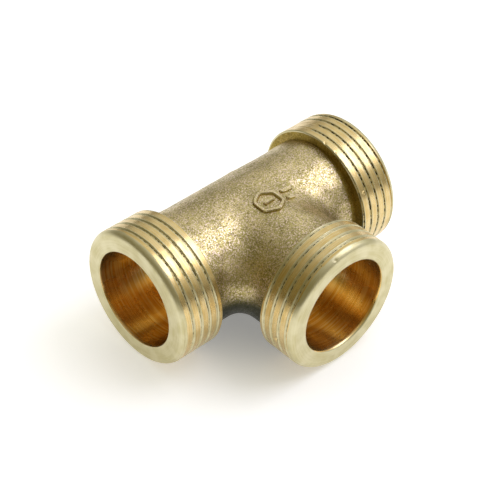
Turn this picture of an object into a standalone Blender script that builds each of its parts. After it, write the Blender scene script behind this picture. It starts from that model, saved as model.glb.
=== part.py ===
"""Equal tee fitting, one brass casting with three male G1 parallel-threaded ends.

The piece is modelled in two kinds of solid: the cast tee between the ends, and the
three ends as they leave the lathe. They meet at the back planes of the threads.

Frame: metres, +Z up. The run lies along X, the branch points along -Y, and the tee
rests on its three ends, so Z = 0 is the surface under it and the origin is at the
bottom centre of its box.
"""

from math import cos, hypot, pi, radians, sin

import bmesh
import bpy
from mathutils import Matrix, Vector

# Reach of each end face from the point where the three waterways meet
RUN_REACH = 0.0333
BRANCH_REACH = 0.0322

# Threads: G1, with the crests turned slightly under the nominal 33.249 mm
CREST_RADIUS = 0.01645
PITCH = 0.002309
GROOVE_DEPTH = 0.00062
GROOVE_WIDTH = 0.40 * PITCH
GROOVE_ROOT_WIDTH = 0.10 * PITCH

# Threaded length of each end, and where its groove starts, in turns
LEFT_THREAD = 0.01155
RIGHT_THREAD = 0.0110
BRANCH_THREAD = 0.0099
LEFT_START = 0.11
RIGHT_START = 0.87
BRANCH_START = 0.04

# The nose of each end: a flat sealing face inside a shallow chamfer
NOSE_LENGTH = 0.0012
NOSE_DROP = 0.0009

BORE_RADIUS = 0.0117
NECK_RADIUS = 0.0140
CROTCH_BLEND = 0.0050

SEGMENTS = 40
ARM_RINGS = 7
RING_SPREAD = 1.5
GAP = 0.0003
CUT_MARGIN = 0.002
CUT_CLEARANCE = 0.0004
WELD = 0.00001
CORNER_ANGLE = radians(30)

# Height of the waterways, and how far the run lies behind the box's middle
AXIS_Z = CREST_RADIUS
AXIS_Y = (BRANCH_REACH - CREST_RADIUS) / 2

# Heading of each arm: its turn about Z from the left-hand end of the run
LEFT, BRANCH, RIGHT = 0, 90, 180

# Which sides of an arm are mitred: +1 or -1 for one side, or both
BRANCH_SIDE_OF_LEFT = -1
BOTH = 2


def remove_old_objects():
    for old in list(bpy.data.objects):
        bpy.data.objects.remove(old, do_unlink=True)


def new_collection(name):
    collection = bpy.data.collections.new(name)
    bpy.context.scene.collection.children.link(collection)
    return collection


def brass(name, colour, roughness):
    material = bpy.data.materials.new(name)
    material.use_nodes = True
    shader = material.node_tree.nodes["Principled BSDF"]
    shader.inputs["Base Color"].default_value = (*colour, 1.0)
    shader.inputs["Metallic"].default_value = 1.0
    shader.inputs["Roughness"].default_value = roughness
    return material


def place_object(name, mesh, collection, heading, reach, material=None):
    """Put a mesh on an arm: its +Z points out of the arm, its +X points up."""
    obj = bpy.data.objects.new(name, mesh)
    collection.objects.link(obj)
    obj.rotation_euler = (0, radians(-90), radians(heading))
    outward = obj.rotation_euler.to_matrix() @ Vector((0, 0, reach))
    obj.location = Vector((0, AXIS_Y, AXIS_Z)) + outward
    if material:
        mesh.materials.append(material)
    return obj


def loop_mesh(name, points):
    """A closed loop of edges in the XZ plane, for the Screw modifier to turn."""
    count = len(points)
    mesh = bpy.data.meshes.new(name)
    edges = [(i, (i + 1) % count) for i in range(count)]
    mesh.from_pydata([(r, 0, z) for r, z in points], edges, [])
    return mesh


def add_screw(obj, lead=0.0, turns=1):
    screw = obj.modifiers.new("Screw", "SCREW")
    screw.axis = "Z"
    screw.angle = 2 * pi
    screw.steps = SEGMENTS
    screw.render_steps = SEGMENTS
    screw.screw_offset = lead
    screw.iterations = turns
    screw.use_merge_vertices = True
    screw.merge_threshold = WELD


def apply_modifiers(obj):
    depsgraph = bpy.context.evaluated_depsgraph_get()
    mesh = bpy.data.meshes.new_from_object(obj.evaluated_get(depsgraph))
    obj.modifiers.clear()
    obj.data = mesh


def shade_round(obj):
    """Shade the finished solid smooth, but for its real corners."""
    apply_modifiers(obj)
    obj.data.shade_smooth()
    obj.data.set_sharp_from_angle(angle=CORNER_ANGLE)


def hide_cutter(obj):
    obj.hide_render = True
    obj.display_type = "WIRE"


def cut(obj, cutter):
    boolean = obj.modifiers.new("Cut " + cutter.name, "BOOLEAN")
    boolean.operation = "DIFFERENCE"
    boolean.solver = "EXACT"
    boolean.object = cutter


def thread_cutter(name, cutters, heading, reach, length, start):
    """One helical groove, right-handed, from in front of the nose to behind the thread."""
    root = GROOVE_ROOT_WIDTH / 2
    flank = (GROOVE_WIDTH / 2 - root) / GROOVE_DEPTH
    floor = CREST_RADIUS - GROOVE_DEPTH
    outside = CREST_RADIUS + CUT_CLEARANCE
    mouth = root + flank * (outside - floor)
    profile = [(outside, mouth), (floor, root), (floor, -root), (outside, -mouth)]
    turns = int(length / PITCH) + 3
    lowest = -(turns - 1 + start) * PITCH
    mesh = loop_mesh(name, [(r, z + lowest) for r, z in profile])
    cutter = place_object(name, mesh, cutters, heading, reach)
    add_screw(cutter, lead=PITCH, turns=turns)
    apply_modifiers(cutter)

    # Half a segment of turn keeps its edges off the edges of the ring it cuts
    cutter.data.transform(Matrix.Rotation(pi / SEGMENTS, 4, "Z"))

    # The groove starts and stops in open space, so its two ends are closed flat
    bm = bmesh.new()
    bm.from_mesh(cutter.data)
    open_edges = [edge for edge in bm.edges if edge.is_boundary]
    bmesh.ops.holes_fill(bm, edges=open_edges, sides=len(profile))
    bmesh.ops.recalc_face_normals(bm, faces=bm.faces)
    bm.to_mesh(cutter.data)
    bm.free()
    hide_cutter(cutter)
    return cutter


def threaded_end(name, parts, cutters, material, heading, reach, length, start):
    """A turned ring with its nose outward, then one helical groove cut round it."""
    profile = [
        (BORE_RADIUS, 0),
        (CREST_RADIUS - NOSE_DROP, 0),
        (CREST_RADIUS, -NOSE_LENGTH),
        (CREST_RADIUS, -length),
        (BORE_RADIUS, -length),
    ]
    end = place_object(name, loop_mesh(name, profile), parts, heading, reach, material)
    add_screw(end)
    cut(end, thread_cutter(name + "_thread", cutters, heading, reach, length, start))
    shade_round(end)


def bore_cutter(name, cutters, heading, inner, outer):
    """A cylinder along an arm from `inner` to `outer`, measured from the crossing."""
    bm = bmesh.new()
    bmesh.ops.create_cone(
        bm,
        cap_ends=True,
        segments=SEGMENTS,
        radius1=BORE_RADIUS,
        radius2=BORE_RADIUS,
        depth=outer - inner,
    )
    mesh = bpy.data.meshes.new(name)
    bm.to_mesh(mesh)
    bm.free()
    cutter = place_object(name, mesh, cutters, heading, (inner + outer) / 2)
    hide_cutter(cutter)
    return cutter


def tee_distance(point):
    """Distance outside the two crossing tubes, with their inner corner filled.

    The fill is widest where the tubes meet square and dies away over the crown,
    where they run into each other without a corner.
    """
    x, y, z = point
    back = max(y, 0)
    run_axis = hypot(y, z)
    branch_axis = hypot(x, hypot(back, z))
    to_run = run_axis - NECK_RADIUS
    to_branch = branch_axis - NECK_RADIUS
    facing = (y * back + z * z) / (run_axis * branch_axis)
    blend = CROTCH_BLEND * (1 - facing)
    nearest = min(to_run, to_branch)
    if blend < WELD:
        return nearest
    overlap = max(blend - abs(to_run - to_branch), 0) / blend
    return nearest - overlap * overlap * blend / 4


def settle_on_tee(point):
    """Move a point along the slope of tee_distance until it lies on the surface."""
    step = WELD
    for _ in range(12):
        here = tee_distance(point)
        slope = Vector(
            tee_distance(point + Vector(axis) * step) - tee_distance(point - Vector(axis) * step)
            for axis in ((1, 0, 0), (0, 1, 0), (0, 0, 1))
        ) / (2 * step)
        if slope.length_squared:
            point = point - slope * (here / slope.length_squared)
    return point


def add_arm(bm, heading, reach, mitred_sides):
    """Loft one arm of the tee from its end plane to the seam with the other arms.

    The seam is a mitre on a side where another arm turns off at a right angle, and
    the middle plane of the tee on a side where the tube runs straight on.
    """
    turn = Matrix.Rotation(radians(heading), 3, "Z")
    rings = []
    for ring in range(ARM_RINGS + 1):
        share = (ring / ARM_RINGS) ** RING_SPREAD
        row = []
        for segment in range(SEGMENTS):
            angle = 2 * pi * segment / SEGMENTS
            side = NECK_RADIUS * sin(angle)
            seam = abs(side) if side * mitred_sides > 0 or mitred_sides == BOTH else 0
            out = seam + (reach - seam) * share
            point = turn @ Vector((-out, side, NECK_RADIUS * cos(angle)))
            if ring < ARM_RINGS:
                point = settle_on_tee(point)
            row.append(bm.verts.new(point))
        rings.append(row)
    for inner, outer in zip(rings, rings[1:]):
        for i in range(SEGMENTS):
            j = (i + 1) % SEGMENTS
            bm.faces.new((inner[i], inner[j], outer[j], outer[i]))
    bm.faces.new(rings[-1])


def cast_body(parts, cutters, material):
    """The cast tee between the backs of the threads, with its waterways bored through."""
    left_reach = RUN_REACH - LEFT_THREAD - GAP
    right_reach = RUN_REACH - RIGHT_THREAD - GAP
    branch_reach = BRANCH_REACH - BRANCH_THREAD - GAP

    bm = bmesh.new()
    add_arm(bm, LEFT, left_reach, BRANCH_SIDE_OF_LEFT)
    add_arm(bm, RIGHT, right_reach, -BRANCH_SIDE_OF_LEFT)
    add_arm(bm, BRANCH, branch_reach, BOTH)
    bmesh.ops.remove_doubles(bm, verts=bm.verts, dist=WELD)
    bmesh.ops.recalc_face_normals(bm, faces=bm.faces)
    mesh = bpy.data.meshes.new("cast_body")
    bm.to_mesh(mesh)
    bm.free()
    mesh.materials.append(material)

    body = bpy.data.objects.new("cast_body", mesh)
    parts.objects.link(body)
    body.location = (0, AXIS_Y, AXIS_Z)
    left_end = -left_reach - CUT_MARGIN
    cut(body, bore_cutter("run_bore", cutters, RIGHT, left_end, right_reach + CUT_MARGIN))
    cut(body, bore_cutter("branch_bore", cutters, BRANCH, 0, branch_reach + CUT_MARGIN))
    shade_round(body)


def main():
    remove_old_objects()
    parts = new_collection("tee_fitting")
    cutters = new_collection("tee_fitting_cutters")
    cast_body(parts, cutters, brass("cast_brass", (0.55, 0.47, 0.29), 0.5))
    ends = (
        ("run_end_left", LEFT, RUN_REACH, LEFT_THREAD, LEFT_START),
        ("run_end_right", RIGHT, RUN_REACH, RIGHT_THREAD, RIGHT_START),
        ("branch_end", BRANCH, BRANCH_REACH, BRANCH_THREAD, BRANCH_START),
    )
    for name, heading, reach, length, start in ends:
        turned = brass(name + "_brass", (0.74, 0.62, 0.35), 0.25)
        threaded_end(name, parts, cutters, turned, heading, reach, length, start)


main()
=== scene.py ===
from math import pi, radians

import bmesh
import bpy
import numpy as np
from mathutils import Matrix, Vector


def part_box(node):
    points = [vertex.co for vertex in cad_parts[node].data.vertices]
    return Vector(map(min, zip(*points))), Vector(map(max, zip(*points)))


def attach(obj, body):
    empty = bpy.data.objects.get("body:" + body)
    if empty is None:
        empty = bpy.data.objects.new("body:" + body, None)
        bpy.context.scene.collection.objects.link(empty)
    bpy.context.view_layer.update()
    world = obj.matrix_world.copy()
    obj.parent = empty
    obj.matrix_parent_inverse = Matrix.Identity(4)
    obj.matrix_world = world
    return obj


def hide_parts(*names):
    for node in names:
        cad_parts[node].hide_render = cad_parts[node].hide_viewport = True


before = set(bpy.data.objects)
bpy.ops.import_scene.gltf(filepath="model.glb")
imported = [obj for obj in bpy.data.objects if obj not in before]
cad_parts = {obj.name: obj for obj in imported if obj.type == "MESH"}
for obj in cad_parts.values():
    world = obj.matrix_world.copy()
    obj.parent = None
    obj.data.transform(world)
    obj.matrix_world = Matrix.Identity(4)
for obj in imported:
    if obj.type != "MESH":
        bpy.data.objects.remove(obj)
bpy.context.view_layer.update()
print("frame loaded")

mm = 0.001

# where things are, read from the frame; an arm is one of the three ways out of the tee
leftBox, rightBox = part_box("run_end_left"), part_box("run_end_right")
branchBox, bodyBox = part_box("branch_end"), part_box("cast_body")
crossing = Vector((0, (leftBox[0][1] + leftBox[1][1]) / 2, (leftBox[0][2] + leftBox[1][2]) / 2))
crestRadius = (leftBox[1][2] - leftBox[0][2]) / 2
neckRadius = (bodyBox[1][2] - bodyBox[0][2]) / 2
reach = {"left": -leftBox[0][0], "right": rightBox[1][0], "branch": crossing.y - branchBox[0][1]}
length = {
    "left": leftBox[1][0] - leftBox[0][0],
    "right": rightBox[1][0] - rightBox[0][0],
    "branch": branchBox[1][1] - branchBox[0][1],
}
heading = {"left": 0, "branch": 90, "right": 180}  # turn about Z from the left-hand arm
boreRadius = 11.7 * mm
weldDistance = 0.002 * mm
cornerAngle = 32  # degrees


def linearColour(hexCode):
    # sRGB hex to the linear values that Blender's sockets take
    parts = [int(hexCode[i : i + 2], 16) / 255 for i in (1, 3, 5)]
    return tuple(p / 12.92 if p <= 0.04045 else ((p + 0.055) / 1.055) ** 2.4 for p in parts) + (1.0,)


def addNode(tree, kind, settings=None, inputs=None):
    # one node, with its settings, and each input either linked or given a value
    node = tree.nodes.new(kind)
    for name, value in (settings or {}).items():
        setattr(node, name, value)
    for name, value in (inputs or {}).items():
        if isinstance(value, bpy.types.NodeSocket):
            tree.links.new(value, node.inputs[name])
        else:
            node.inputs[name].default_value = value
    return node


def smoothStep(x):
    x = np.clip(x, 0, 1)
    return x * x * (3 - 2 * x)


def unevenness(points, size, seed, waves=14):
    # smooth, repeatable roughness, about -1 to 1: plane waves with lengths near size
    rng = np.random.default_rng(seed)
    total = np.zeros(points.shape[:-1])
    for _ in range(waves):
        direction = rng.normal(size=3)
        direction *= 2 * pi / (size * rng.uniform(0.7, 1.6)) / np.linalg.norm(direction)
        total += np.sin(points @ direction + rng.uniform(0, 2 * pi))
    return total / np.sqrt(waves / 2)


def armTurn(arm):
    # an arm's own axes: +Z out of the arm, +X up
    return Matrix.Rotation(radians(heading[arm]), 4, "Z") @ Matrix.Rotation(radians(-90), 4, "Y")


def gridFaces(rows, columns, firstVertex=0):
    # quads over a grid that runs round both ways
    r, c = np.meshgrid(np.arange(rows), np.arange(columns), indexing="ij")
    below, right = (r + 1) % rows, (c + 1) % columns
    corners = [r * columns + c, r * columns + right, below * columns + right, below * columns + c]
    return np.stack(corners, -1).reshape(-1, 4) + firstVertex


def makePiece(name, points, quads, materials, slots, matrix, node):
    # welds the points that lie together, and keeps the sharp corners sharp
    mesh = bpy.data.meshes.new(name)
    mesh.from_pydata(points.reshape(-1, 3).tolist(), [], quads.tolist())
    for material in materials:
        mesh.materials.append(material)
    mesh.polygons.foreach_set("material_index", slots.astype(np.int32))
    bm = bmesh.new()
    bm.from_mesh(mesh)
    bmesh.ops.remove_doubles(bm, verts=bm.verts, dist=weldDistance)
    bmesh.ops.dissolve_degenerate(bm, edges=bm.edges, dist=weldDistance / 2)
    bmesh.ops.recalc_face_normals(bm, faces=bm.faces)
    openEdges = sum(not edge.is_manifold for edge in bm.edges)
    bm.to_mesh(mesh)
    bm.free()
    mesh.shade_smooth()
    mesh.set_sharp_from_angle(angle=radians(cornerAngle))
    piece = bpy.data.objects.new(name, mesh)
    bpy.context.scene.collection.objects.link(piece)
    piece.matrix_world = matrix
    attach(piece, "root")
    if node:
        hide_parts(node)
    print(name, len(mesh.polygons), "faces,", openEdges, "edges that don't join two faces")
    return piece


# Cast gunmetal brass, shot-blasted: dull olive-gold, with a sandpaper grain whose pale flecks
# are also painted glints and whose dark flecks are also painted shade in its pits. The shot
# measured 0.3 mm. Below a tilted plane the colour turns to a dark greenish painted shade,
# standing in for the shadow under the tee.
castSkinSettings = {
    "name": "cast brass, shot-blasted",
    # grain flecks: the pale ones are also painted glints, the dark ones also painted shade in the pits
    "colour": "#c6b67c", "cloud": "#aa9d62", "glintFleck": "#f4dccc", "shadeFleck": "#6d5f2f",
    "glintFleckShare": 0.78, "shadeFleckShare": 0.58,
    "grit": 0.32 * mm, "clouds": 5 * mm, "gritDepth": 0.05 * mm,
    "roughness": (0.30, 0.50),
    # painted shade: the colour and strength of the darkening below the plane
    "paintedShade": "#1b2615", "paintedShadeShare": 0.93,
    "upwards": (0, 0.2, 1), "paintedShadeFrom": 0.0 * mm, "paintedShadeTo": -5.4 * mm,
}
# The same casting behind the threads and at the foot of the founder's mark: duller as cast, and darker
# as painted shade for these recesses
shoulderSettings = dict(
    castSkinSettings,
    name="cast brass, as cast, with painted shade",
    colour="#b29c4a", cloud="#9c863e", glintFleck="#d0b878", shadeFleck="#786a28",
    glintFleckShare=0.5, roughness=(0.45, 0.6), paintedShadeShare=0.0,
)

# The same casting where it stands proud and other castings have rubbed it: paler and smoother
rubbedSettings = dict(
    castSkinSettings,
    name="cast brass, rubbed",
    colour="#d6c898", cloud="#c8b982", shadeFleck="#9a8c58", shadeFleckShare=0.4, roughness=(0.28, 0.4),
    paintedShadeShare=0.0,
)


def castBrass(s):
    material = bpy.data.materials.new(s["name"])
    material.use_nodes = True
    tree = material.node_tree
    shader = tree.nodes["Principled BSDF"]
    shader.inputs["Metallic"].default_value = 1.0
    place = addNode(tree, "ShaderNodeTexCoord").outputs["Object"]
    grain = addNode(tree, "ShaderNodeTexNoise", None, {
        "Vector": place, "Scale": 1 / s["grit"], "Detail": 2.0,
    }).outputs["Fac"]
    flecks = addNode(tree, "ShaderNodeTexNoise", None, {
        "Vector": place, "Scale": 0.8 / s["grit"], "Detail": 1.0, "Distortion": 0.6,
    }).outputs["Fac"]
    clouds = addNode(tree, "ShaderNodeTexNoise", None, {
        "Vector": place, "Scale": 1 / s["clouds"], "Detail": 4.0,
    }).outputs["Fac"]

    # plain skin, clouded, then pale grain flecks that are also painted glints, then dark grain flecks
    # that are also painted shade in the pits
    cloudy = addNode(tree, "ShaderNodeMapRange", {"interpolation_type": "SMOOTHSTEP"}, {
        "Value": clouds, "From Min": 0.38, "From Max": 0.62,
    }).outputs["Result"]
    colour = addNode(tree, "ShaderNodeMix", {"data_type": "RGBA"}, {
        "Factor": cloudy, 6: linearColour(s["cloud"]), 7: linearColour(s["colour"]),
    }).outputs[2]
    glintFlecks = addNode(tree, "ShaderNodeMapRange", {"interpolation_type": "SMOOTHSTEP"}, {
        "Value": grain, "From Min": 0.48, "From Max": 0.62, "To Max": s["glintFleckShare"],
    }).outputs["Result"]
    colour = addNode(tree, "ShaderNodeMix", {"data_type": "RGBA"}, {
        "Factor": glintFlecks, 6: colour, 7: linearColour(s["glintFleck"]),
    }).outputs[2]
    shadeFlecks = addNode(tree, "ShaderNodeMapRange", {"interpolation_type": "SMOOTHSTEP"}, {
        "Value": flecks, "From Min": 0.34, "From Max": 0.47, "To Min": s["shadeFleckShare"], "To Max": 0.0,
    }).outputs["Result"]
    colour = addNode(tree, "ShaderNodeMix", {"data_type": "RGBA"}, {
        "Factor": shadeFlecks, 6: colour, 7: linearColour(s["shadeFleck"]),
    }).outputs[2]

    # painted shade below a plane that tilts up towards the branch: the underside is darkened
    low = addNode(tree, "ShaderNodeVectorMath", {"operation": "DOT_PRODUCT"}, {
        0: place, 1: s["upwards"],
    }).outputs["Value"]
    paintedShade = addNode(tree, "ShaderNodeMapRange", {"interpolation_type": "SMOOTHSTEP"}, {
        "Value": low, "From Min": s["paintedShadeTo"], "From Max": s["paintedShadeFrom"],
        "To Min": s["paintedShadeShare"], "To Max": 0.0,
    }).outputs["Result"]
    colour = addNode(tree, "ShaderNodeMix", {"data_type": "RGBA"}, {
        "Factor": paintedShade, 6: colour, 7: linearColour(s["paintedShade"]),
    }).outputs[2]

    rough = addNode(tree, "ShaderNodeMapRange", None, {
        "Value": flecks, "From Min": 0.35, "From Max": 0.65,
        "To Min": s["roughness"][1], "To Max": s["roughness"][0],
    }).outputs["Result"]
    bump = addNode(tree, "ShaderNodeBump", None, {
        "Strength": 1.0, "Distance": s["gritDepth"], "Height": grain,
    }).outputs["Normal"]
    tree.links.new(colour, shader.inputs["Base Color"])
    tree.links.new(rough, shader.inputs["Roughness"])
    tree.links.new(bump, shader.inputs["Normal"])
    return material


# Brass turned on a lathe: clean bright metal with fine rings round the axis, which draw the
# highlights out along it. Rings under 0.2 mm apart would not show, so they are drawn coarser.
crestSettings = {
    "name": "turned brass, thread crests",  # tan-gold, satin, with soft-edged bright bands
    "colour": "#dcc286", "patch": "#d0b474", "ring": "#eedcb0", "ringShare": 0.35,
    "ringWidth": 0.24 * mm, "ringLength": 6 * mm, "ringDepth": 0.006 * mm, "patches": 3 * mm,
    "roughness": 0.27, "anisotropic": 0.4,
    "pore": "#4a3a18", "poreSpacing": 1.3 * mm, "poreSize": 0.10, "poreGroups": 4 * mm,
}
faceSettings = {
    "name": "turned brass, faced",  # pale greenish cream, satin: the tool has just passed
    "colour": "#d2caa4", "patch": "#c6bd90", "ring": "#e0d8b8", "ringShare": 0.3,
    "ringWidth": 0.24 * mm, "ringLength": 8 * mm, "ringDepth": 0.004 * mm, "patches": 4 * mm,
    "roughness": 0.38, "anisotropic": 0.5,
    "pore": "#6a5c34", "poreSpacing": 2.2 * mm, "poreSize": 0.05, "poreGroups": 4 * mm,
}
boreSettings = {
    "name": "bored brass",  # deep golden brown from many reflections, with fine bright rings
    "colour": "#e6c070", "patch": "#dcb25c", "ring": "#f8e4ae", "ringShare": 0.75,
    "ringWidth": 0.36 * mm, "ringLength": 18 * mm, "ringDepth": 0.014 * mm, "patches": 6 * mm,
    "roughness": 0.27, "anisotropic": 0.4,
    "pore": "#33240c", "poreSpacing": 1.2 * mm, "poreSize": 0.12, "poreGroups": 4 * mm,
}


def turnedBrass(s, along="Z"):
    material = bpy.data.materials.new(s["name"] + ", along " + along)
    material.use_nodes = True
    tree = material.node_tree
    shader = tree.nodes["Principled BSDF"]
    shader.inputs["Metallic"].default_value = 1.0
    place = addNode(tree, "ShaderNodeTexCoord").outputs["Object"]

    # the rings: noise that changes fast along the radius and the axis, and slowly round them
    parts = addNode(tree, "ShaderNodeSeparateXYZ", None, {"Vector": place}).outputs
    axis = "XYZ".index(along)
    sideways = [parts[i] for i in range(3) if i != axis]
    flat = addNode(tree, "ShaderNodeCombineXYZ", None, {0: sideways[0], 1: sideways[1]}).outputs[0]
    radius = addNode(tree, "ShaderNodeVectorMath", {"operation": "LENGTH"}, {0: flat}).outputs["Value"]
    fast, slow = 1 / s["ringWidth"], 1 / s["ringLength"]
    stretched = []
    for value, scale in ((radius, fast), (parts[axis], fast), (sideways[0], slow), (sideways[1], slow)):
        scaled = addNode(tree, "ShaderNodeMath", {"operation": "MULTIPLY"}, {0: value, 1: scale})
        stretched.append(scaled.outputs[0])
    vector = addNode(tree, "ShaderNodeCombineXYZ", None, dict(enumerate(stretched[:3]))).outputs[0]
    rings = addNode(tree, "ShaderNodeTexNoise", {"noise_dimensions": "4D"}, {
        "Vector": vector, "W": stretched[3], "Scale": 1.0, "Detail": 2.0,
    }).outputs["Fac"]
    patches = addNode(tree, "ShaderNodeTexNoise", None, {
        "Vector": place, "Scale": 1 / s["patches"], "Detail": 3.0,
    }).outputs["Fac"]
    patchy = addNode(tree, "ShaderNodeMapRange", {"interpolation_type": "SMOOTHSTEP"}, {
        "Value": patches, "From Min": 0.36, "From Max": 0.64,
    }).outputs["Result"]
    colour = addNode(tree, "ShaderNodeMix", {"data_type": "RGBA"}, {
        "Factor": patchy, 6: linearColour(s["colour"]), 7: linearColour(s["patch"]),
    }).outputs[2]
    ringed = addNode(tree, "ShaderNodeMapRange", {"interpolation_type": "SMOOTHSTEP"}, {
        "Value": rings, "From Min": 0.42, "From Max": 0.60, "To Max": s["ringShare"],
    }).outputs["Result"]
    colour = addNode(tree, "ShaderNodeMix", {"data_type": "RGBA"}, {
        "Factor": ringed, 6: colour, 7: linearColour(s["ring"]),
    }).outputs[2]

    # a few casting pores that the tool opened, in groups
    toPore = addNode(tree, "ShaderNodeTexVoronoi", None, {
        "Vector": place, "Scale": 1 / s["poreSpacing"],
    }).outputs["Distance"]
    groups = addNode(tree, "ShaderNodeTexNoise", None, {
        "Vector": place, "Scale": 1 / s["poreGroups"], "Detail": 1.0,
    }).outputs["Fac"]
    poreSize = addNode(tree, "ShaderNodeMapRange", None, {
        "Value": groups, "From Min": 0.55, "From Max": 0.72, "To Max": s["poreSize"],
    }).outputs["Result"]
    pores = addNode(tree, "ShaderNodeMath", {"operation": "LESS_THAN"}, {
        0: toPore, 1: poreSize,
    }).outputs[0]
    colour = addNode(tree, "ShaderNodeMix", {"data_type": "RGBA"}, {
        "Factor": pores, 6: colour, 7: linearColour(s["pore"]),
    }).outputs[2]

    rough = addNode(tree, "ShaderNodeMapRange", None, {
        "Value": patches, "From Min": 0.3, "From Max": 0.7,
        "To Min": s["roughness"] * 0.85, "To Max": s["roughness"] * 1.2,
    }).outputs["Result"]
    height = addNode(tree, "ShaderNodeMath", {"operation": "MULTIPLY_ADD"}, {
        0: pores, 1: -1.5, 2: rings,
    }).outputs[0]
    bump = addNode(tree, "ShaderNodeBump", None, {
        "Strength": 1.0, "Distance": s["ringDepth"], "Height": height,
    }).outputs["Normal"]
    tree.links.new(colour, shader.inputs["Base Color"])
    tree.links.new(rough, shader.inputs["Roughness"])
    tree.links.new(bump, shader.inputs["Normal"])
    if along == "Z":
        tangent = addNode(tree, "ShaderNodeTangent", {"direction_type": "RADIAL", "axis": "Z"})
        tree.links.new(tangent.outputs[0], shader.inputs["Tangent"])
        shader.inputs["Anisotropic"].default_value = s["anisotropic"]
        shader.inputs["Anisotropic Rotation"].default_value = 0.25
    return material


# Painted shade in the bottom of the thread, where the groove's hidden wall lies in shade: dark brown,
# broken by stretches where the brass shows through
grooveSettings = {"rootShade": "#3e3014", "brass": "#cdbb84", "dashes": 0.8 * mm, "roughness": 0.5}


def paintedShadeGroove(s):
    material = bpy.data.materials.new("thread root, painted shade")
    material.use_nodes = True
    tree = material.node_tree
    shader = tree.nodes["Principled BSDF"]
    shader.inputs["Metallic"].default_value = 1.0
    shader.inputs["Roughness"].default_value = s["roughness"]
    place = addNode(tree, "ShaderNodeTexCoord").outputs["Object"]
    noise = addNode(tree, "ShaderNodeTexNoise", None, {
        "Vector": place, "Scale": 1 / s["dashes"], "Detail": 2.0,
    }).outputs["Fac"]
    dashes = addNode(tree, "ShaderNodeMapRange", {"interpolation_type": "SMOOTHSTEP"}, {
        "Value": noise, "From Min": 0.44, "From Max": 0.54,
    }).outputs["Result"]
    colour = addNode(tree, "ShaderNodeMix", {"data_type": "RGBA"}, {
        "Factor": dashes, 6: linearColour(s["rootShade"]), 7: linearColour(s["brass"]),
    }).outputs[2]
    tree.links.new(colour, shader.inputs["Base Color"])
    return material


castSkin, castShoulder = castBrass(castSkinSettings), castBrass(shoulderSettings)
castRubbed = castBrass(rubbedSettings)
crestBrass, faceBrass = turnedBrass(crestSettings), turnedBrass(faceSettings)
boreBrass = {axis: turnedBrass(boreSettings, axis) for axis in "XYZ"}
grooveShade = paintedShadeGroove(grooveSettings)
print("materials made")


# The G1 thread: a V groove whose widths are shares of the pitch, counted from the middle of
# the groove, with flat crests, and burrs that the tool raised along the crests' edges
thread = {
    "pitch": 2.309 * mm,
    "depth": 0.28 * mm,
    "rootHalf": 0.03,
    "frontEdge": 0.14,  # where a crest starts
    "rearEdge": 0.89,  # and where it ends
    "overhang": 0.03,  # how far a rolled-over burr closes the groove
    "rootShadeReach": 0.03,  # how far up the front wall the painted shade reaches
    "rubbed": 0.08,  # how wide a strip of crest is rubbed pale at each edge
    "lip": 0.045 * mm,
    "lipWidth": 0.030,
    "lipRoom": 0.05 * mm,  # the crests lie this far inside the box, and the lips stand in it
    "fineRagged": 0.9 * mm,
    "longRagged": 3.0 * mm,
    "burrGrows": 14,  # degrees
    "burrBreaks": 1.5,  # degrees
    "ripple": 0.010 * mm,
    "rippleLength": 5 * mm,
    "runOutLength": 2 * mm,
    "runOutSpread": 40,  # degrees
    "noseLength": 1.8 * mm,
    "noseDrop": 1.5 * mm,
    "breakEdge": 0.2 * mm,
    "columns": 432,
    "noseRows": 9,
    "boreRows": 14,
    "rowShares": [
        0.00, 0.03, 0.05, 0.09, 0.125, 0.14, 0.155, 0.18, 0.22, 0.28, 0.36, 0.46, 0.56, 0.66,
        0.74, 0.81, 0.845, 0.87, 0.885, 0.90, 0.91, 0.92, 0.945, 0.97,
    ],
}
# For each end: where its groove starts, in turns; how far the bore's mouth is broken; between
# which angles from the top the burr is rolled over; where the thread runs out before the
# shoulder (share, depth in mm, angle); and dents (angle, depth in, half length round, half
# width, depth, the last four in mm)
ends = {
    "left": {
        "start": 0.11, "mouth": 0.08 * mm, "burr": (-66, -89), "runOut": (0, 8, 0),
        "dents": [(-96, 0.9, 0.6, 0.15, 0.2), (38, 2.6, 0.3, 0.25, 0.1)],
    },
    "right": {
        "start": 0.87, "mouth": 0.10 * mm, "burr": (120, 150), "runOut": (0.9, 4, -50),
        "dents": [(8, 10.8, 0.35, 0.35, 0.3), (20, 10.9, 0.25, 0.3, 0.25), (60, 9.5, 0.3, 0.3, 0.2)],
    },
    "branch": {
        "start": 0.04, "mouth": 0.50 * mm, "burr": (72, 92), "runOut": (0, 8, 0),
        "dents": [(101, 4.9, 0.5, 0.3, 0.3), (14, 0.5, 0.35, 0.2, 0.15), (118, 0.6, 0.3, 0.2, 0.2)],
    },
}


def angleFrom(angle, degrees):
    # the shorter way round, in radians
    return (angle - radians(degrees) + pi) % (2 * pi) - pi


def shareOfPitch(angle, depthIn, end):
    # 0 in the middle of a groove, growing towards the back, 1 in the middle of the next
    turnsIn = depthIn / thread["pitch"] + angle / (2 * pi) - end["start"]
    return turnsIn - np.floor(turnsIn)


def threadLeft(angle, depthIn, end):
    # 1 where the thread is full, less where it runs out on the unturned casting
    lost, lostFrom, lostAngle = end["runOut"]
    fade = smoothStep((depthIn - lostFrom * mm) / thread["runOutLength"])
    aside = np.abs(angleFrom(angle, lostAngle)) / radians(thread["runOutSpread"])
    return 1 - lost * fade * smoothStep(1.45 - aside)


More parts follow.
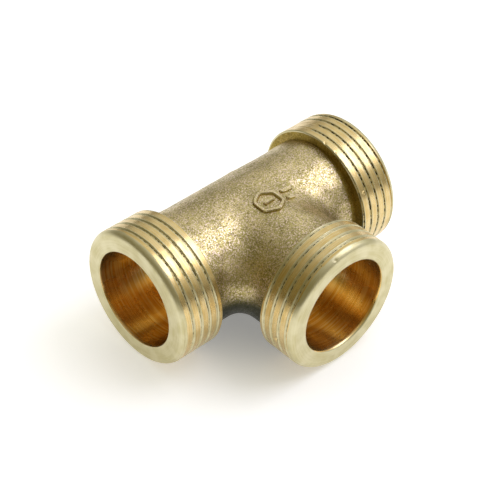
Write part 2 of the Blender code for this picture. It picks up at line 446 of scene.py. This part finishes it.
def threadRadius(angle, depthIn, arm):
    # radius of the threaded surface, at an angle from the top and a depth behind the face
    t, end = thread, ends[arm]
    share = shareOfPitch(angle, depthIn, end)
    place = np.stack([crestRadius * np.cos(angle), crestRadius * np.sin(angle), depthIn], -1)
    ragged = 0.6 * unevenness(place, t["fineRagged"], 3) + 0.5 * unevenness(place, t["longRagged"], 4)

    # the burr grows over a few degrees and breaks off at once
    grown, broken = end["burr"]
    way = 1 if broken > grown else -1
    rolled = smoothStep(way * angleFrom(angle, grown) / radians(t["burrGrows"]))
    past = way * angleFrom(angle, broken) / radians(t["burrBreaks"])
    rolled *= smoothStep(0.5 - past + 0.45 * ragged)
    front = t["frontEdge"] + 0.008 * ragged
    rear = t["rearEdge"] + t["overhang"] * rolled + 0.010 * ragged

    frontWall = np.clip((front - share) / (front - t["rootHalf"]), 0, 1)
    rearWall = np.clip((share - rear) / (1 - t["rootHalf"] - rear), 0, 1)
    groove = t["depth"] * np.maximum(frontWall, rearWall)
    lip = np.exp(-(((share - front - t["lipWidth"]) / t["lipWidth"]) ** 2))
    lip += np.exp(-(((share - rear + t["lipWidth"]) / t["lipWidth"]) ** 2))
    lip *= t["lip"] * np.clip(0.55 + 0.6 * ragged, 0, 1.6)

    radius = crestRadius - t["lipRoom"] + (lip - groove) * threadLeft(angle, depthIn, end)
    radius = radius + t["ripple"] * unevenness(place, t["rippleLength"], 5)

    # the rounded nose, and the broken edge at the shoulder
    ahead = np.clip(1 - depthIn / t["noseLength"], 0, 1)
    nose = crestRadius - t["noseDrop"] * (1 - np.sqrt(1 - ahead**2))
    behind = np.clip(1 - (length[arm] - depthIn) / t["breakEdge"], 0, 1)
    shoulder = crestRadius - t["breakEdge"] * behind
    radius = np.minimum(np.minimum(radius, nose), shoulder)
    for middle, depth, halfRound, halfWide, deep in end["dents"]:
        around = angleFrom(angle, middle) * crestRadius / (halfRound * mm)
        across = (depthIn - depth * mm) / (halfWide * mm)
        radius = radius - deep * mm * np.exp(-(around**2) - across**2)
    return radius


def threadedEnd(name, node, arm):
    t, end = thread, ends[arm]
    columns, whole, mouth = t["columns"], length[arm], end["mouth"]
    angle = np.arange(columns) * 2 * pi / columns

    # rows that follow the groove, and rows that follow the nose and the shoulder
    shares = np.array(t["rowShares"])
    turns = np.arange(-1, int(whole / t["pitch"]) + 3)
    follow = (turns[:, None] + shares[None, :]).ravel()
    helical = (follow[:, None] + end["start"] - angle[None, :] / (2 * pi)) * t["pitch"]
    noseTurn = np.linspace(0, pi / 2, t["noseRows"] + 1)[1:]
    level = np.append(t["noseLength"] * (1 - np.cos(noseTurn)), whole - t["breakEdge"])
    along = np.concatenate([np.clip(helical, 0, whole), np.repeat(level[:, None], columns, 1)])
    along = np.sort(along, axis=0)
    radius = threadRadius(np.broadcast_to(angle, along.shape), along, arm)

    # the outline: up the bore, over the face, along the thread, down the shoulder
    faceEdge = crestRadius - t["noseDrop"]
    inner = [(boreRadius, depth) for depth in np.linspace(whole, mouth, t["boreRows"])]
    face = [(boreRadius + mouth * share, mouth * (1 - share) ** 2) for share in (0.3, 0.6, 1.0)]
    flat = faceEdge - boreRadius - mouth
    face += [(boreRadius + mouth + flat * share, 0) for share in (0.25, 0.5, 0.75)]
    shoulder = [crestRadius - 0.5 * mm, neckRadius + 0.6 * mm, neckRadius - 0.2 * mm]
    before, after = np.array(inner + face), np.array([(out, whole) for out in shoulder])
    ones = np.ones((1, columns))
    radii = np.concatenate([before[:, :1] * ones, radius, after[:, :1] * ones])
    depths = np.concatenate([before[:, 1:] * ones, along, after[:, 1:] * ones])
    points = np.stack([radii * np.cos(angle), radii * np.sin(angle), -depths], -1)
    quads = gridFaces(len(radii), columns)

    # after one turn the rows of the groove have moved on by one pitch
    firstRow, lastRow = len(before), len(before) + len(along) - 1
    wraps = np.nonzero(np.arange(len(quads)) % columns == columns - 1)[0]
    for corner in (1, 2):
        row = quads[wraps, corner] // columns
        inThread = (row >= firstRow) & (row <= lastRow)
        moved = np.maximum(row - len(shares), firstRow)
        quads[wraps, corner] = np.where(inThread, moved, row) * columns

    # which material each face has, by where its middle lies
    boreSlot, faceSlot, crestSlot, shoulderSlot, rootShadeSlot = range(5)
    middleDepth = depths + (np.roll(depths, -1, axis=0) - depths) / 2
    share = shareOfPitch(angle + pi / columns, middleDepth, end)
    cut = (threadLeft(angle, middleDepth, end) > 0.5) & (middleDepth > 0.9 * t["noseLength"])
    wall = cut & ((share < t["frontEdge"] + t["rubbed"]) | (share > t["rearEdge"] - t["rubbed"]))
    # the bottom of the groove and the hidden wall under the burr get painted shade
    root = cut & ((share < t["rootShadeReach"]) | (share > t["rearEdge"] + t["overhang"]))
    plain = (middleDepth < 0.75 * t["noseLength"]) | (middleDepth > whole - t["breakEdge"])
    slots = np.where(root, rootShadeSlot, np.where(wall, faceSlot, crestSlot))
    slots = np.where(plain, faceSlot, slots)
    slots[: len(inner)] = boreSlot
    slots[len(inner) : firstRow] = faceSlot
    # the shoulder behind the thread takes the darker shoulder brass: painted shade for the recess
    slots[lastRow + 1 :] = shoulderSlot
    slots[-1] = boreSlot
    matrix = Matrix.Translation(crossing) @ armTurn(arm) @ Matrix.Translation((0, 0, reach[arm]))
    materials = [boreBrass["Z"], faceBrass, crestBrass, castShoulder, grooveShade]
    makePiece(name, points, quads, materials, slots.ravel(), matrix, node)


for arm, node in (("left", "run_end_left"), ("right", "run_end_right"), ("branch", "branch_end")):
    threadedEnd(arm + "ThreadedEnd", node, arm)
print("threaded ends made")


# The casting between the ends: two crossing tubes, their corner filled, with a mould seam
body = {
    "around": 216,
    "rings": 96,
    "innerRings": 12,
    "ringSpread": 1.35,
    "cornerFill": 5.0 * mm,
    "underSharper": 0.4,  # how much less the corner is filled underneath
    "underReach": 8 * mm,
    "valleyFill": 1.6 * mm,
    "valleyReach": 6 * mm,
    "skimLeast": 0.12 * mm,
    "skimMost": 1.25 * mm,
    "skimDepth": 0.08 * mm,
    "skimShares": [0.96, 0.7, 0.45, 0.2, 0.0],  # its rows, as shares of its width from the shoulder
    "skimMiddle": 100,  # degrees from the top
    "lumps": 0.06 * mm,
    "lumpLengths": (7 * mm, 2.5 * mm),
    "seamHeight": 0.10 * mm,
    "seamWidth": 0.18 * mm,
    "seamBreaks": 4 * mm,
}


def teeDistance(points):
    # distance outside the two crossing tubes, with the corner between them filled
    x, y, z = points[..., 0], points[..., 1], points[..., 2]
    back = np.maximum(y, 0)
    runAxis = np.hypot(y, z)
    branchAxis = np.sqrt(x**2 + back**2 + z**2)
    toRun, toBranch = runAxis - neckRadius, branchAxis - neckRadius
    facing = (y * back + z * z) / np.maximum(runAxis * branchAxis, 1e-9)
    corner = body["cornerFill"] * (1 - body["underSharper"] * smoothStep(-z / body["underReach"]))
    blend = corner * (1 - facing) + body["valleyFill"] * smoothStep(-y / body["valleyReach"])
    blend = np.maximum(blend, 1e-7)
    overlap = np.maximum(blend - np.abs(toRun - toBranch), 0) / blend
    return np.minimum(toRun, toBranch) - overlap**2 * blend / 4


def slopeAt(points):
    step = 0.02 * mm
    slope = np.zeros_like(points)
    for axis in range(3):
        shift = np.zeros(3)
        shift[axis] = step
        slope[..., axis] = (teeDistance(points + shift) - teeDistance(points - shift)) / (2 * step)
    return slope


def settleOnTee(points):
    # moves points on to the tee's surface, and gives the way out of it at each
    for _ in range(8):
        slope = slopeAt(points)
        points = points - slope * (teeDistance(points) / (slope**2).sum(-1))[..., None]
    slope = slopeAt(points)
    return points, slope / np.linalg.norm(slope, axis=-1, keepdims=True)


def castSurface(points):
    # how far the real skin stands off the plain tee: lumps from the sand, and the mould's seam
    large, small = body["lumpLengths"]
    lumps = 0.7 * unevenness(points, large, 11) + 0.25 * unevenness(points, small, 12)
    seam = np.exp(-((points[..., 2] / body["seamWidth"]) ** 2))
    seam *= 0.6 + 0.4 * np.clip(unevenness(points, body["seamBreaks"], 13), -1, 1)
    return body["lumps"] * lumps + body["seamHeight"] * seam


def armGrid(arm, radius, rings, angles, outside):
    # one arm from the seam with its neighbours out to the back of its thread
    side = np.sin(angles)
    mitred = {"left": side < 0, "right": side > 0, "branch": side != 0}[arm]
    seam = np.where(mitred, np.abs(side) * radius, 0)
    outer = reach[arm] - length[arm]

    # the tool that faced the shoulder has skimmed the neck too, wider on one side at the right
    skimShares = np.array(body["skimShares"])[:, None]
    castRows = rings - len(skimShares)
    lean = 0
    if arm == "right":
        lean = smoothStep(0.9 * np.cos(angles - radians(body["skimMiddle"])) + 0.25)
    skimmed = body["skimLeast"] + body["skimMost"] * lean
    spread = (np.linspace(0, 1, castRows) ** body["ringSpread"])[:, None]
    strip = np.broadcast_to(outer - skimmed * skimShares, (len(skimShares), len(angles)))
    out = np.concatenate([seam + (outer - skimmed - seam) * spread, strip])
    local = np.stack(np.broadcast_arrays(radius * np.cos(angles), radius * side, out), -1)
    turn = np.array(armTurn(arm).to_3x3())
    points = local @ turn.T
    if outside:
        points, normal = settleOnTee(points)
        cast = np.arange(rings)[:, None] < castRows
        stand = np.where(cast, castSurface(points), -body["skimDepth"])
        points = points + normal * stand[..., None]
        outward = turn[:, 2]
        points[-1] += (outer - points[-1] @ outward)[:, None] * outward  # flush with the shoulder
    return points


def castBody():
    b = body
    even = np.arange(b["around"]) * 2 * pi / b["around"]
    off = np.radians([-1.2, -0.8, -0.4, 0.4, 0.8, 1.2])
    beside = np.concatenate([pi / 2 + off, 3 * pi / 2 + off])  # closer together at the mould's seam
    angles = np.unique(np.round(np.concatenate([even, beside]), 6))
    columns = len(angles)
    points, quads, slots, count = [], [], [], 0
    skinSlot, runSlot, branchSlot, shoulderSlot = range(4)
    skimRows = len(b["skimShares"]) + 1
    for arm, lining in (("left", runSlot), ("right", runSlot), ("branch", branchSlot)):
        outside = armGrid(arm, neckRadius, b["rings"], angles, True)
        inside = armGrid(arm, boreRadius, b["innerRings"], angles, False)
        loop = np.concatenate([outside, inside[::-1]])
        points.append(loop.reshape(-1, 3))
        quads.append(gridFaces(len(loop), columns, count))
        slots += [skinSlot] * ((b["rings"] - skimRows) * columns)
        # the skimmed strip next to the collar takes the darker shoulder brass: painted shade at the
        # collar's foot
        slots += [shoulderSlot] * (skimRows * columns) + [lining] * (len(inside) * columns)
        count += len(loop) * columns
    points, quads = np.concatenate(points), np.concatenate(quads)

    # an arm has no wall across its inner end, where the next arm goes on
    loopLength = (b["rings"] + b["innerRings"]) * columns
    closing = np.arange(len(quads)) % loopLength >= loopLength - columns
    quads, slots = quads[~closing], np.array(slots)[~closing]
    materials = [castSkin, boreBrass["X"], boreBrass["Y"], castShoulder]
    place = Matrix.Translation(crossing)
    makePiece("castTee", points, quads, materials, slots, place, "cast_body")


castBody()
print("cast body made")


# A plain founder's mark in place of a maker's: a raised hexagon with three short bars
mark = {
    "middle": (1.5 * mm, -7.0 * mm, 12.2 * mm),
    "hexagon": (-1.5 * mm, 0.0, 3.4 * mm),  # across and up from the middle, and its radius
    "bars": [(-3.0, 0.0, 0), (3.0, 6.8, 1.1), (3.0, 5.6, -1.3)],  # from, to and how high, in mm
    "halfWidth": 0.42 * mm,
    "height": 0.55 * mm,
    "sunk": 0.25 * mm,
}


def raisedRib(name, path, closed):
    # a rounded rib along a flat path, laid on the tee's surface
    m = mark
    points, normal = settleOnTee(np.array(m["middle"])[None, :])
    across = np.array((1, 0, 0)) - normal[0] * normal[0][0]
    across /= np.linalg.norm(across)
    upward = np.cross(normal[0], across)
    ahead = np.roll(path, -1, axis=0) - np.roll(path, 1, axis=0)
    full = np.ones(len(path))
    if not closed:
        ahead[0], ahead[-1] = path[1] - path[0], path[-1] - path[-2]
        steps = np.linalg.norm(path - path[0], axis=1)
        toEnd = np.minimum(steps, steps[-1] - steps) / m["halfWidth"]
        full = np.sqrt(1 - np.clip(1 - toEnd, 0, 1) ** 2)  # round ends
    ahead /= np.linalg.norm(ahead, axis=1, keepdims=True)
    sideways = np.stack([-ahead[:, 1], ahead[:, 0]], -1)
    half = [(0.65, 1.0), (1.0, 0.55), (1.35, 0.05), (1.9, -1)]  # how far out, and how high
    section = np.array([(-out, high) for out, high in half[::-1]] + half)
    offset = section[:, 0] * m["halfWidth"]
    flat = path[:, None, :] + sideways[:, None, :] * offset[None, :, None] * full[:, None, None]
    laid = points[0] + flat[..., :1] * across + flat[..., 1:] * upward
    laid, normal = settleOnTee(laid)
    rise = np.where(section[:, 1] < 0, -m["sunk"], section[:, 1] * m["height"])[None, :]
    rise = np.where(rise > 0, rise * full[:, None], rise)
    laid = laid + normal * (castSurface(laid) + rise)[..., None]
    quads = gridFaces(len(path), len(section))
    if not closed:
        quads = quads[: -len(section)]
    place = Matrix.Translation(crossing)
    # the foot of each rib takes the darker shoulder brass: painted shade where it meets the skin
    foot = np.isin(np.arange(len(quads)) % len(section), (0, 1, len(section) - 2, len(section) - 3))
    makePiece(name, laid, quads, [castRubbed, castShoulder], foot, place, None)


def foundersMark():
    m = mark
    right, up, radius = m["hexagon"]
    turn = np.arange(6) * pi / 3 + pi / 6
    corners = np.stack([right + radius * np.cos(turn), up + radius * np.sin(turn)], -1)
    share = np.linspace(0, 1, 9)[:-1, None]
    nextCorners = np.roll(corners, -1, axis=0)
    hexagon = np.concatenate([a * (1 - share) + b * share for a, b in zip(corners, nextCorners)])
    for _ in range(3):
        hexagon = (np.roll(hexagon, 1, axis=0) + 2 * hexagon + np.roll(hexagon, -1, axis=0)) / 4
    raisedRib("markHexagon", hexagon, True)
    for number, (start, stop, high) in enumerate(m["bars"]):
        bar = [(start + (stop - start) * (1 - np.cos(s * pi)) / 2, high) for s in np.linspace(0, 1, 17)]
        raisedRib("markBar" + str(number + 1), np.array(bar) * mm, False)


foundersMark()
print("founder's mark made")


# The studio: a light table that glows white, its glow turned down around the tee as a painted shadow,
# one large softbox above on the right, and a sky that darkens to the left
studio = {
    "acrylic": "#f6f6f4", "glowColour": "#ffffff", "tableReach": 3,
    "softboxes": {
        "keySoftbox": {
            "towards": (0.52, -0.30, 0.80), "distance": 0.9, "size": 0.58, "power": 3.0,
            "colour": "#e6e6ff",
        },
    },
    "brightSide": (0.70, 0.05, 0.71),
    "skyDark": "#7a7250", "skyBright": "#ecedea", "skyPower": 1.4, "skyStrength": 1.25,
    "horizon": 0.5, "horizonTop": 0.4,
    # how strongly the table glows near the tee and far from it; the weaker glow near it is a painted
    # shadow
    "glow": (0.26, 0.5), "paintedShadowInner": 8 * mm, "paintedShadowOuter": 48 * mm,
}


def makeTable(s):
    mesh = bpy.data.meshes.new("lightTable")
    far = s["tableReach"]
    corners = [(-far, -far, 0), (far, -far, 0), (far, far, 0), (-far, far, 0)]
    mesh.from_pydata(corners, [], [(0, 1, 2, 3)])
    acrylic = bpy.data.materials.new("white acrylic, matt, lit from below")
    acrylic.use_nodes = True
    tree = acrylic.node_tree
    shader = tree.nodes["Principled BSDF"]
    shader.inputs["Base Color"].default_value = linearColour(s["acrylic"])
    shader.inputs["Roughness"].default_value = 0.9
    shader.inputs["Emission Color"].default_value = linearColour(s["glowColour"])
    place = addNode(tree, "ShaderNodeTexCoord").outputs["Object"]
    away = addNode(tree, "ShaderNodeVectorMath", {"operation": "LENGTH"}, {0: place}).outputs["Value"]
    # the glow is weaker near the tee: a painted shadow round it
    glow = addNode(tree, "ShaderNodeMapRange", {"interpolation_type": "SMOOTHSTEP"}, {
        "Value": away, "From Min": s["paintedShadowInner"], "From Max": s["paintedShadowOuter"],
        "To Min": s["glow"][0], "To Max": s["glow"][1],
    }).outputs["Result"]
    tree.links.new(glow, shader.inputs["Emission Strength"])
    mesh.materials.append(acrylic)
    table = bpy.data.objects.new("lightTable", mesh)
    bpy.context.scene.collection.objects.link(table)


def makeSoftbox(name, s):
    light = bpy.data.lights.new(name, "AREA")
    light.shape = "SQUARE"
    light.size = s["size"]
    light.energy = s["power"]
    light.color = linearColour(s["colour"])[:3]
    lamp = bpy.data.objects.new(name, light)
    bpy.context.scene.collection.objects.link(lamp)
    towards = Vector(s["towards"]).normalized()
    lamp.location = crossing + towards * s["distance"]
    lamp.rotation_euler = towards.to_track_quat("Z", "Y").to_euler()


def makeSky(s):
    world = bpy.data.worlds.new("studio")
    bpy.context.scene.world = world
    world.use_nodes = True
    tree = world.node_tree
    direction = addNode(tree, "ShaderNodeTexCoord").outputs["Generated"]
    facing = addNode(tree, "ShaderNodeVectorMath", {"operation": "DOT_PRODUCT"}, {
        0: direction, 1: s["brightSide"],
    }).outputs["Value"]
    towards = addNode(tree, "ShaderNodeMapRange", None, {"Value": facing}).outputs["Result"]
    share = addNode(tree, "ShaderNodeMath", {"operation": "POWER"}, {
        0: towards, 1: s["skyPower"],
    }).outputs[0]
    colour = addNode(tree, "ShaderNodeMix", {"data_type": "RGBA"}, {
        "Factor": share, 6: linearColour(s["skyDark"]), 7: linearColour(s["skyBright"]),
    }).outputs[2]
    up = addNode(tree, "ShaderNodeSeparateXYZ", None, {"Vector": direction}).outputs["Z"]
    strength = addNode(tree, "ShaderNodeMapRange", {"interpolation_type": "SMOOTHSTEP"}, {
        "Value": up, "From Max": s["horizonTop"],
        "To Min": s["skyStrength"] * s["horizon"], "To Max": s["skyStrength"],
    }).outputs["Result"]
    tree.links.new(colour, tree.nodes["Background"].inputs["Color"])
    tree.links.new(strength, tree.nodes["Background"].inputs["Strength"])


makeTable(studio)
for name, settings in studio["softboxes"].items():
    makeSoftbox(name, settings)
makeSky(studio)
print("studio made")


# The camera, from the crossing of the waterways, with the ways to its back and its right
view = {
    "from": (-0.1930, -0.1978, 0.2393),
    "back": (-0.5241, -0.5413, 0.6574),
    "right": (0.7328, -0.6800, 0.0243),
    "lens": 119.26,
}


def makeCamera(s):
    camera = bpy.data.objects.new("camera", bpy.data.cameras.new("camera"))
    bpy.context.scene.collection.objects.link(camera)
    back = Vector(s["back"]).normalized()
    right = Vector(s["right"])
    right = (right - back * right.dot(back)).normalized()
    turn = Matrix((right, back.cross(right), back)).transposed().to_4x4()
    camera.matrix_world = Matrix.Translation(crossing + Vector(s["from"])) @ turn
    camera.data.lens = s["lens"]
    camera.data.sensor_width = 36
    bpy.context.scene.camera = camera


makeCamera(view)
bpy.context.scene.view_settings.view_transform = "Standard"
print("camera made")
